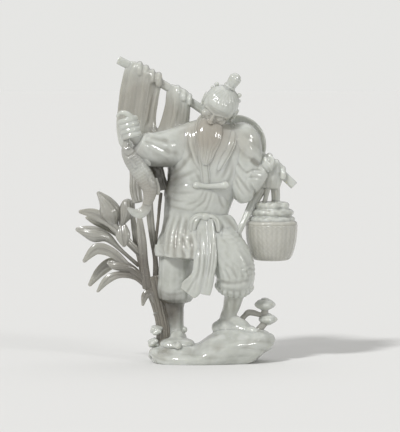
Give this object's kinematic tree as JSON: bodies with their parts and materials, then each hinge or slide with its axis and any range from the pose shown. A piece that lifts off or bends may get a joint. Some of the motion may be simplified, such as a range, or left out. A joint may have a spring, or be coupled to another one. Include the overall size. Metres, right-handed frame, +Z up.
{
  "type": "carved stone figurine",
  "caption": "Carved pale jade figurine of an old fisherman with a carrying pole, net, fish, straw hat and basket, standing on a rock base.",
  "frame": {"origin": "middle of the rock base's flat underside", "axes": "+X to the figure's left hand and the basket, +Y to its back, +Z up"},
  "size_m": [0.1442, 0.0502, 0.1987],
  "materials": {
    "pale_jade": "polished translucent pale nephrite",
    "grey_jade": "polished translucent nephrite, greyer where it is thin",
    "warm_jade": "polished translucent nephrite, slightly warmer"
  },
  "bodies": {
    "root": {"rock_base": "pale_jade", "moss_tufts": "grey_jade", "right_leg": "pale_jade", "left_leg": "pale_jade", "right_trouser": "pale_jade", "left_trouser": "pale_jade", "jacket_skirt": "pale_jade", "waist_wrap": "pale_jade", "jacket_body": "pale_jade", "lapel_right": "pale_jade", "lapel_left": "pale_jade", "chest_toggle": "pale_jade", "sash_bow": "pale_jade", "sash_tail_long": "pale_jade", "sash_tail_short": "pale_jade", "right_sleeve": "pale_jade", "sleeve_drop": "grey_jade", "right_hand": "pale_jade", "left_sleeve": "pale_jade", "left_hand": "pale_jade", "head": "pale_jade", "beard": "pale_jade", "topknot": "pale_jade", "hair_band": "pale_jade", "straw_hat": "warm_jade", "carrying_pole": "pale_jade", "net_large_bunch": "pale_jade", "net_small_bunch": "pale_jade", "net_swag": "grey_jade", "net_tail": "grey_jade", "fish_body": "pale_jade", "fish_tail": "pale_jade", "fish_fins": "pale_jade", "basket": "warm_jade", "basket_load": "pale_jade", "strap_bunch": "pale_jade", "strap_front": "pale_jade", "strap_ribbon": "pale_jade", "strap_rear": "pale_jade", "iris_clump": "grey_jade", "iris_stem": "grey_jade", "iris_leaf_1": "grey_jade", "iris_leaf_2": "grey_jade", "iris_leaf_3": "grey_jade", "iris_leaf_4": "grey_jade", "iris_leaf_5": "grey_jade", "iris_leaf_6": "grey_jade", "iris_leaf_7": "grey_jade", "iris_leaf_8": "grey_jade", "iris_leaf_9": "grey_jade", "iris_bud_1": "pale_jade", "iris_bud_2": "pale_jade", "iris_bud_3": "pale_jade", "iris_bud_4": "pale_jade", "fungus_stem": "grey_jade", "fungus_cap_lower": "pale_jade", "fungus_cap_upper": "pale_jade"}
  },
  "joints": []
}
